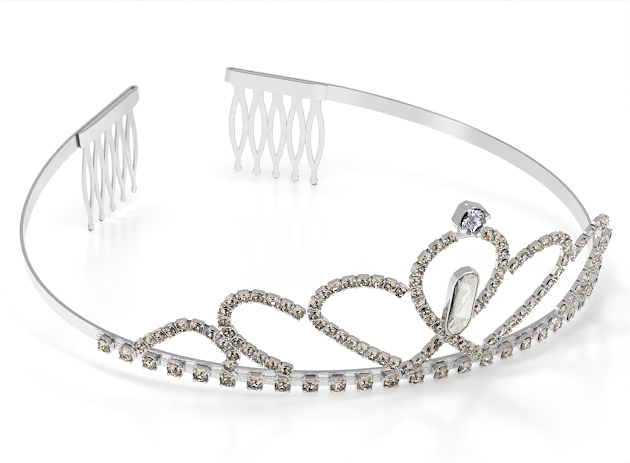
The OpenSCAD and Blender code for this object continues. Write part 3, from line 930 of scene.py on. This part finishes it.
# %% [markdown]
# ## Base row
# The cups, the rungs and the stones of the base row come from the same trees as the curls, with
# larger parts, because one tree with other inputs is easier to keep true than two. The shapes that
# were only patterns for the trees are then deleted.

# %% Base row made
row = place_points("base_row", [base_places])
base_metal = run_tree(row, set_parts, {"Part": base_cup, "Metal or Glass": cup_silver})
base_rungs = run_tree(row, set_parts, {"Part": rung, "Metal or Glass": bright_silver})
base_glass = run_stones(row, base_stone, 0.06, 5)
dress(join_meshes("base_cups_and_ladder", [base_metal, base_rungs]), "base_chain")
dress(join_meshes("base_set_stones", [base_glass]), "base_stones")
for spare in (row, curl_stone, base_stone, curl_cup, base_cup, link_tab, rung):
    bpy.data.objects.remove(spare)
print("base row", len(base_metal.polygons) + len(base_rungs.polygons), "metal faces")

# %% [markdown]
# ## Strip section and folds
# The strip is rolled wire pressed flat, so its edges are rounded. Each end is folded back on itself,
# inwards, grips the comb's rail, and is pinched onto the strip where it ends. A curve with a bevel
# could follow the path, but it would twist in the fold. Stations with their own directions don't:
# they run along the path, round the hairpin and back.

# %% Strip section and folds
EDGE_R, CORNER_STEPS, CORNER_GUARD = 0.18, 3, 0.03
HALF_STEPS, FOLD_STEPS = 120, 10
# the lower edge of the strip is raised in the fold, and comes down again over this run
TRIM, TRIM_RUN = 0.75, 1.4
# the fold's inner leg starts to bend here, is down beside the strip here, and ends this thin
PINCH_RUN, PINCH_DOWN, END_T = 5.0, 0.3, 0.40
# how far inside the strip's middle the leg's middle lies where it is down, and where it ends
DOWN_IN, END_IN = 0.98, 0.80


def strip_section(width, thick, trim=0.0):
    """Rounded rectangle as (up, out) pairs, with its lower edge raised by trim."""
    pairs = []
    for cx, cy, first in ((1, 1, 0), (-1, 1, 90), (-1, -1, 180), (1, -1, 270)):
        arc = [math.radians(first + 90 * k / CORNER_STEPS) for k in range(CORNER_STEPS + 1)]
        x, y = cx * (width / 2 - EDGE_R), cy * (thick / 2 - EDGE_R)
        corner = [(x + EDGE_R * math.cos(a), y + EDGE_R * math.sin(a)) for a in arc]
        # a point beside each end of the arc keeps the broad faces flat when the edge is smoothed
        (x, y), a = corner[0], arc[0]
        before = (x + CORNER_GUARD * math.sin(a), y - CORNER_GUARD * math.cos(a))
        (x, y), a = corner[-1], arc[-1]
        after = (x - CORNER_GUARD * math.sin(a), y + CORNER_GUARD * math.cos(a))
        pairs += [(up if up > 0 else up + trim, out) for up, out in (before, *corner, after)]
    return pairs


def half_band(side):
    """(place, up, out, trim) from beside the front centre to the end of one fold."""
    stations = []
    for i in range(1, HALF_STEPS + 1):
        place, _, up, face = strip_frame(side * HALF * i / HALF_STEPS)
        stations.append((place, up, face, 0.0))
    place, along, up, face = strip_frame(side * (HALF + BAR))
    root = strip_frame(side * (HALF + 0.001))[0]
    away = side * along
    stations += [(place - away * TRIM_RUN, up, face, 0.0), (place, up, face, TRIM)]
    hub = place - FOLD_R * face
    for j in range(1, FOLD_STEPS + 1):
        a = math.pi * j / FOLD_STEPS
        outward = face * math.cos(a) + away * math.sin(a)
        stations.append((hub + FOLD_R * outward, up, outward, TRIM))
    inner_leg = (
        place - 2 * FOLD_R * face - away * TRIM_RUN,
        root - 2 * FOLD_R * face + away * PINCH_RUN,
        root - DOWN_IN * face + away * PINCH_DOWN,
        root - END_IN * face,
    )
    return stations + [(place, up, -face, 0.0) for place in inner_leg]


print("stations in half the strip", len(half_band(1)))

# %% [markdown]
# ## Headband
# The real strip is one piece from fold to fold. It could be made in three and joined, but a skin
# through all the sections is one closed piece from the start. Its rolled edges are painted greyer
# than its faces as shade, and its two cut ends are painted dark as the shadow at the end of each fold.

# %% Headband
front, _, front_up, front_face = strip_frame(0)
stations = half_band(-1)[::-1] + [(front, front_up, front_face, 0.0)] + half_band(1)
rings = []
for i, (place, up, out, trim) in enumerate(stations):
    thick = END_T if i in (0, len(stations) - 1) else STRIP_T
    rings.append([place + a * up + b * out for a, b in strip_section(STRIP_W, thick, trim)])
headband = ring_shell("headband_strip", rings)
face_outwards(headband, 50)
for finish in (bright_silver, painted_shadow, rolled_edge):
    headband.data.materials.append(finish)
for face in headband.data.polygons:
    # the two cut ends get the painted shadow
    cut_end = len(face.vertices) > 4
    # the rolled edges get the painted grey shade
    on_edge = abs(face.normal.z) > 0.5
    face.material_index = 1 if cut_end else 2 if on_edge else 0
dress(headband, "headband")
print("headband", len(headband.data.polygons), "faces")

# %% [markdown]
# ## Comb shapes
# Each comb is stamped from sheet: a bar and five teeth, each a pair of legs that bow apart and touch
# their neighbours, and end in a rounded tip. The whole outline could be drawn point by point. A few
# simple shapes that overlap, and one slit a tooth, say the same and are easy to change.

# %% Comb shapes
TOOTH_COUNT = 5
TOOTH_PITCH, PITCH_SHARE = BAR / 4.95, 0.99
RAKE = math.radians(8.3)
BAR_START, BAR_END_GAP, BAR_TOP_GAP = 1.8, 0.3, 0.12


def pointed_oval(width, length, centre_y, steps=14):
    """Two arcs that meet in a point above and below."""
    r = ((length / 2) ** 2 + (width / 2) ** 2) / width
    a = math.asin(length / 2 / r)
    turns = [a * (2 * k / steps - 1) for k in range(steps + 1)]
    right = [(r * math.cos(t) - r + width / 2, r * math.sin(t)) for t in turns]
    left = [(-x, y) for x, y in right[1:-1]][::-1]
    return [(x, y + centre_y) for x, y in right + left]


def box(x0, y0, x1, y1):
    """An upright rectangle."""
    return [(x0, y0), (x1, y0), (x1, y1), (x0, y1)]


def tooth_shapes(length):
    """The solid shapes of one tooth, root, legs, neck and tip, and the slit between its legs."""
    p, tip_r = TOOTH_PITCH, 0.43 * TOOTH_PITCH / 2
    root = box(-0.28 * p, -0.24 * length, 0.28 * p, 1)
    legs = pointed_oval(1.02 * p, 0.92 * length, -0.43 * length)
    neck = box(-0.13 * p, -0.96 * length, 0.13 * p, -0.76 * length)
    tip = [(x, y - length + tip_r) for x, y, _ in ring(tip_r, 0, 20)]
    return [root, legs, neck, tip], pointed_oval(0.4 * p, 0.565 * length, -0.45 * length)


def raked(line, cx, cy):
    """A line of a tooth, turned by the rake and moved to the tooth's root."""
    c, s = math.cos(-RAKE), math.sin(-RAKE)
    return [(cx + x * c - y * s, cy + x * s + y * c) for x, y in line]


def comb_shapes(length):
    """The solid shapes of a comb, its bar and teeth, and the slits."""
    solids = [box(BAR_START, -STRIP_W / 2, BAR - BAR_END_GAP, STRIP_W / 2 - BAR_TOP_GAP)]
    slits = []
    shapes, slit = tooth_shapes(length)
    for i in range(TOOTH_COUNT):
        root = (i + 0.5) * TOOTH_PITCH * PITCH_SHARE, -STRIP_W / 2
        solids += [raked(shape, *root) for shape in shapes]
        slits.append(raked(slit, *root))
    return solids, slits


print("comb shapes", len(comb_shapes(1)[0]), "solid,", len(comb_shapes(1)[1]), "slits")


# %% [markdown]
# ## Comb outline
# A stamp cuts one outline. Booleans on thin sheet often fail where shapes touch, so it is found flat,
# as the union of the shapes less the slits. The triangulation that Blender offers for crossing
# outlines tells which shapes cover each triangle, and the outline is read off where kept meets
# dropped. The teeth are as long as they have to be to stand on the floor.

# %% Comb outline
def outline_loops(solids, slits, closest=0.08):
    """Closed outlines of the union of solids less the slits."""
    corners, faces = [], []
    for shape in solids + slits:
        faces.append(list(range(len(corners), len(corners) + len(shape))))
        corners += [Vector(p) for p in shape]
    points, _, triangles, _, _, covers = delaunay_2d_cdt(corners, [], faces, 1, 1e-5)
    kept = [t for t, cover in zip(triangles, covers) if cover and max(cover) < len(solids)]
    sides = dict.fromkeys((a, b) for t in kept for a, b in zip(t, t[1:] + t[:1]))
    rim = {}
    for a, b in sides:
        if (b, a) not in sides:
            rim.setdefault(a, []).append(b)
    loops = []
    while rim:
        first = here = next(iter(rim))
        loop = []
        while not loop or here != first:
            loop.append(points[here])
            following = rim[here].pop()
            if not rim[here]:
                del rim[here]
            here = following
        # points that nearly meet would make the soft edge fold over itself
        pairs = zip(loop[-1:] + loop[:-1], loop)
        loops.append([point for before, point in pairs if (point - before).length > closest])
    return loops


def comb_frame(side):
    """Where a comb's bar starts, and the directions along it, up it and out."""
    place, along, up, face = strip_frame(side * (HALF + 0.001))
    return place - FOLD_R * face, side * along, up, side * face


def tooth_length():
    """How long a tooth has to be for the first tip to stand on the floor."""
    place, away, up, _ = comb_frame(1)
    first_root = place + away * TOOTH_PITCH / 2 * PITCH_SHARE - up * STRIP_W / 2
    return first_root.z / (math.sin(RAKE) * away.z + math.cos(RAKE) * up.z)


comb_loops = outline_loops(*comb_shapes(tooth_length()))
print("comb outlines", [len(loop) for loop in comb_loops], "points, tooth", round(tooth_length(), 2), "mm")


# %% [markdown]
# ## Combs
# Tumbling softens the edge that the stamp leaves, and wears its plate. Solidify and Bevel could
# follow on the flat outline, but a filled curve gives thickness and soft edge at once. The broad
# faces are flat and satin, the edges have the duller cut finish, a little darker also as painted
# shade, and the undersides of the tips are painted dark as the shadow they stand in.

# %% Combs made
COMB_EDGE, FLAT_MARGIN = 0.18, 0.01
# faces lower than this, and facing down more than this, get the painted shadow
TIP_HEIGHT, FACING_DOWN = 0.002, -0.25


def comb_sheet(name):
    """The comb's outline as a soft-edged sheet, flat and in metres."""
    data = bpy.data.curves.new(name, "CURVE")
    data.dimensions = "2D"
    data.fill_mode = "BOTH"
    data.bevel_depth = COMB_EDGE * MM
    data.bevel_resolution = 1
    data.offset = -COMB_EDGE * MM
    data.extrude = (COMB_T / 2 - COMB_EDGE) * MM
    for loop in comb_loops:
        spline = data.splines.new("POLY")
        spline.points.add(len(loop) - 1)
        for item, point in zip(spline.points, loop):
            item.co = (point.x * MM, point.y * MM, 0, 1)
        spline.use_cyclic_u = True
    return mesh_from_curve(name, data)


def comb(name, side, node):
    """One comb, stood in its fold, with a finish for its faces, its edge, and a painted shadow under its
    tips.
    """
    mesh = comb_sheet(name)
    place, away, up, face = comb_frame(side)
    mesh.transform(axes_matrix(away, up, face, [v * MM for v in place]))
    piece = new_object(name, mesh)
    face_outwards(piece, 35)
    mesh.materials.clear()
    for finish in (satin_silver, cut_edge, painted_shadow):
        mesh.materials.append(finish)
    middle = place * MM
    for item in mesh.polygons:
        depth = min(abs((mesh.vertices[v].co - middle).dot(face)) for v in item.vertices)
        broad = depth > (COMB_T / 2 - FLAT_MARGIN) * MM
        # faces low down that face the floor are painted dark as their shadow
        in_painted_shadow = item.normal.z < FACING_DOWN and item.center.z < TIP_HEIGHT
        item.material_index = 0 if broad else 2 if in_painted_shadow else 1
        item.use_smooth = not broad
    return dress(piece, node)


for name, side in (("left", -1), ("right", 1)):
    print(name, len(comb(f"comb_{name}_sheet", side, f"comb_{name}").data.polygons), "faces")


# %% [markdown]
# ## Long stone's outline
# The long stone stands in front of the crossing. It is straight sided, round at the top and drawn in
# at the foot. The stone and its setting could be drawn apart, but one outline function serves both,
# so that they always fit. Both are made flat and then stood on the leaning crest.

# %% Long stone's outline
OVAL_W, OVAL_L, OVAL_UP, SHIFT = 6.2, 18.4, 22.2, -0.3
FOOT_L, FOOT_POWER, END_STEPS = 4.2, 1.25, 5


def long_outline(margin):
    """Round top, straight sides and a narrower foot, drawn in by a margin."""
    half, foot = OVAL_W / 2 - margin, -(OVAL_L / 2 - FOOT_L)
    top = OVAL_L / 2 - OVAL_W / 2
    turns = [math.pi * k / END_STEPS for k in range(END_STEPS + 1)]
    drop = FOOT_L - margin
    round_top = [(half * math.cos(a), top + half * math.sin(a)) for a in turns]
    return round_top + [(-half * math.cos(a), foot - drop * math.sin(a) ** FOOT_POWER) for a in turns]


def at_height(pairs, z):
    """A flat outline lifted to a height."""
    return [(x, y, z) for x, y in pairs]


def stand_on(piece, s, up, out, lean=None):
    """Moves a piece made flat, with out along Z, to its place on the crest."""
    _, along, _, face = level_frame(s)
    if lean is not None:
        face = Vector((0, -math.cos(math.radians(lean)), -math.sin(math.radians(lean))))
        along = Vector((1, 0, 0))
    piece.data.transform(axes_matrix(along, face.cross(along), face, [v * MM for v in spot(s, up, out)]))


print("outline points", len(long_outline(0)))

# %% [markdown]
# ## Long stone's setting
# The setting is a bezel: a wall of metal whose thin lip is rubbed over the stone. A bevelled curve
# would be as thick all round. A skin through eight of the outlines gives the straight wall, the
# rounded lip and the seat inside, and its faces are marked for painted shade, dark on the inner wall
# and a little on the lip.

# %% Long stone's setting
OVAL_BACK, OVAL_RIM = 2.62, 4.95
# (margin, height) up the outside of the wall, over the lip and down the inside
WALL = (
    (-0.20, OVAL_BACK),
    (-0.40, OVAL_BACK + 0.2),
    (-0.43, OVAL_RIM - 0.35),
    (-0.43, OVAL_RIM - 0.12),
    (-0.30, OVAL_RIM + 0.03),
    (-0.10, OVAL_RIM + 0.03),
    (0.0, OVAL_RIM - 0.05),
    (0.0, OVAL_BACK + 0.4),
)
# how dark the painted shade is on the inner wall and on the lip
INNER_SHADE, LIP_SHADE = 0.7, 0.3
# a wall faces up less than the first, and the lip more than the second
WALL_UP, LIP_UP = 0.3, 0.8
# the bezel is about three times as long as wide, so its length counts for less
LENGTH_SHARE = 0.3


def bezel_shade(face):
    """How much painted shade a face of the bezel gets: most on the inner wall, less on the lip, none outside.
    """
    outward = Vector((face.center.x, face.center.y * LENGTH_SHARE, 0))
    if face.normal.z < WALL_UP and face.normal.dot(outward) < 0:
        return INNER_SHADE
    return LIP_SHADE if face.normal.z > LIP_UP else 0.0


bezel = ring_shell("oval_bezel", [at_height(long_outline(margin), z) for margin, z in WALL])
face_outwards(bezel, 20)
mark_faces(bezel, "painted_shade", "FLOAT", [bezel_shade(face) for face in bezel.data.polygons])
bezel.data.materials.append(cup_silver)
stand_on(bezel, SHIFT, OVAL_UP, 0)
dress(bezel, "oval_setting")
print("bezel", len(bezel.data.polygons), "faces")


# %% [markdown]
# ## Long stone
# The long stone is cut in steps and kites: a narrow table, side facets in zigzag, and a keeled back
# with foil. In the photograph its facets run from clear to dark. A gradient over the whole stone
# would hide them, so each facet has its own painted tone, light and shade painted in for what each
# facet reflects, and the keel wanders a little from side to side, which breaks the mirror image in
# the foil.

# %% Long stone cut
TABLE_SHARE, KITE_SHARE, KITE_HEIGHT = (0.46, 0.66), (0.76, 0.85), 0.6
GIRDLE_Z, TABLE_Z, BACK_Z, GIRDLE_T = OVAL_RIM - 0.08, OVAL_RIM + 0.20, OVAL_RIM - 0.34, 0.12
# how far the girdle stays inside the outline, and at what share of its height a point meets the keel
GIRDLE_INSET, KEEL_SHARE = 0.16, 0.8
# (across, along, depth) of the keel's points, from the foot up
KEEL = (
    (0.2, -5.8, 0.1),
    (-0.8, -3.6, 0),
    (0.7, -1.2, 0.05),
    (-0.7, 1.4, 0),
    (0.8, 3.8, 0.05),
    (-0.4, 6.0, -0.04),
)
# painted tones round the stone from the right, light and shade of what each facet reflects: clear where high,
# dark at the upper right and the foot
PAINTED_SIDE_TONES = (0.25, 0.35, 0.5, 0.8, 0.85, 0.9, 0.85, 0.7, 0.3, 0.15, 0.6, 0.8)
# painted tones of the table, of the steps round each side, and of the back facets
TABLE_TONE, TONE_STEPS, BACK_TONES = 0.95, (0.0, 0.1, -0.12), (0.9, 0.5, 1.0, 0.75, 0.3)


def long_stone():
    """The cut stone, and the number of faces of its clear crown."""
    girdle = long_outline(GIRDLE_INSET)
    n = len(girdle)
    kites = []
    for (x0, y0), (x1, y1) in zip(girdle, girdle[1:] + girdle[:1]):
        x, y = (x0 + x1) / 2 * KITE_SHARE[0], (y0 + y1) / 2 * KITE_SHARE[1]
        kites.append((x, y, GIRDLE_Z + (TABLE_Z - GIRDLE_Z) * KITE_HEIGHT))
    points = at_height([(x * TABLE_SHARE[0], y * TABLE_SHARE[1]) for x, y in girdle], TABLE_Z) + kites
    points += at_height(girdle, GIRDLE_Z) + at_height(girdle, GIRDLE_Z - GIRDLE_T)
    points += [(x, y, BACK_Z - depth) for x, y, depth in KEEL]
    kite, edge, low, keel = n, 2 * n, 3 * n, 4 * n
    crown, belt, back = [tuple(range(n))], [], []
    nearest = [min(range(len(KEEL)), key=lambda m: abs(KEEL[m][1] - y * KEEL_SHARE)) for x, y in girdle]
    for j in range(n):
        k = (j + 1) % n
        crown += [(j, kite + j, k), (j, kite + (j - 1) % n, edge + j, kite + j)]
        crown.append((kite + j, edge + j, edge + k))
        belt.append((edge + j, low + j, low + k, edge + k))
        a, b = nearest[j], nearest[k]
        back.append((low + j, keel + a, low + k))
        step = 1 if b > a else -1
        back += [(low + k, keel + m, keel + m + step) for m in range(a, b, step)]
    return mesh_object("oval_cut", points, crown + belt + back), len(crown)


def foil_back(piece, glass, foil, crown_faces, tones=(0.5,)):
    """Glass on the crown's faces and foil on the rest, with a tone for each facet in turn."""
    piece.data.materials.append(glass)
    piece.data.materials.append(foil)
    count = len(piece.data.polygons)
    piece.data.polygons.foreach_set("material_index", [int(i >= crown_faces) for i in range(count)])
    mark_faces(piece, "tone", "FLOAT", [tones[i % len(tones)] for i in range(count)])


oval_cut, crown_faces = long_stone()
face_outwards(oval_cut)
painted_facet_tones = [TABLE_TONE] + [tone + step for tone in PAINTED_SIDE_TONES for step in TONE_STEPS]
painted_facet_tones += [BACK_TONES[i % len(BACK_TONES)] for i in range(len(oval_cut.data.polygons) - crown_faces)]
foil_back(oval_cut, painted_facet_glass, silver_foil, crown_faces, painted_facet_tones)
stand_on(oval_cut, SHIFT, OVAL_UP, 0)
dress(oval_cut, "oval_stone")
print("long stone", len(oval_cut.data.polygons), "facets")

# %% [markdown]
# ## Top setting
# The largest stone is a pale blue round in a deep square setting, turned so that one prong stands at
# the top. It could be modelled afresh, but it is the same stamped shape as the small cups, only
# larger, so the same function makes it.

# %% Top setting
TOP_D, TOP_UP, TOP_OUT, TOP_DEPTH, TOP_LEAN = 6.8, 44.7, 3.4, 4.1, 9
SETTING_TURN = 66
top_collet = cup(
    "top_collet",
    width=TOP_D,
    back=-TOP_DEPTH,
    rim=-0.95,
    tip=0.45,
    mouth=3.27,
    corner=1.4,
    reach=1.25,
    root=2.4,
)
top_collet.data.materials.append(cup_silver)
top_collet.data.transform(Matrix.Rotation(math.radians(SETTING_TURN), 4, "Z"))
stand_on(top_collet, SHIFT, TOP_UP, TOP_OUT, TOP_LEAN)
dress(top_collet, "top_setting")
print("top setting", len(top_collet.data.polygons), "faces")

# %% [markdown]
# ## Top stone
# The blue stone is the small chaton again, deeper and with a wider table. Its glass bends light more
# than the small stones' does, because the real one shows hard dark and bright wedges.

# %% Top stone
# how much narrower than its setting the stone is, and its own turn in degrees
STONE_PLAY, STONE_TURN = 0.34, 10
top_heights = (0.66, -0.50, -2.35, -3.35)
top_cut = round_stone("top_cut", TOP_D - STONE_PLAY, top_heights, table_share=0.56, step_share=0.30)
top_cut.data.transform(Matrix.Rotation(math.radians(STONE_TURN), 4, "Z"))
foil_back(top_cut, blue_glass, blue_foil, CROWN_FACES)
stand_on(top_cut, SHIFT, TOP_UP, TOP_OUT, TOP_LEAN)
dress(top_cut, "top_stone")
print("top stone", len(top_cut.data.polygons), "facets")
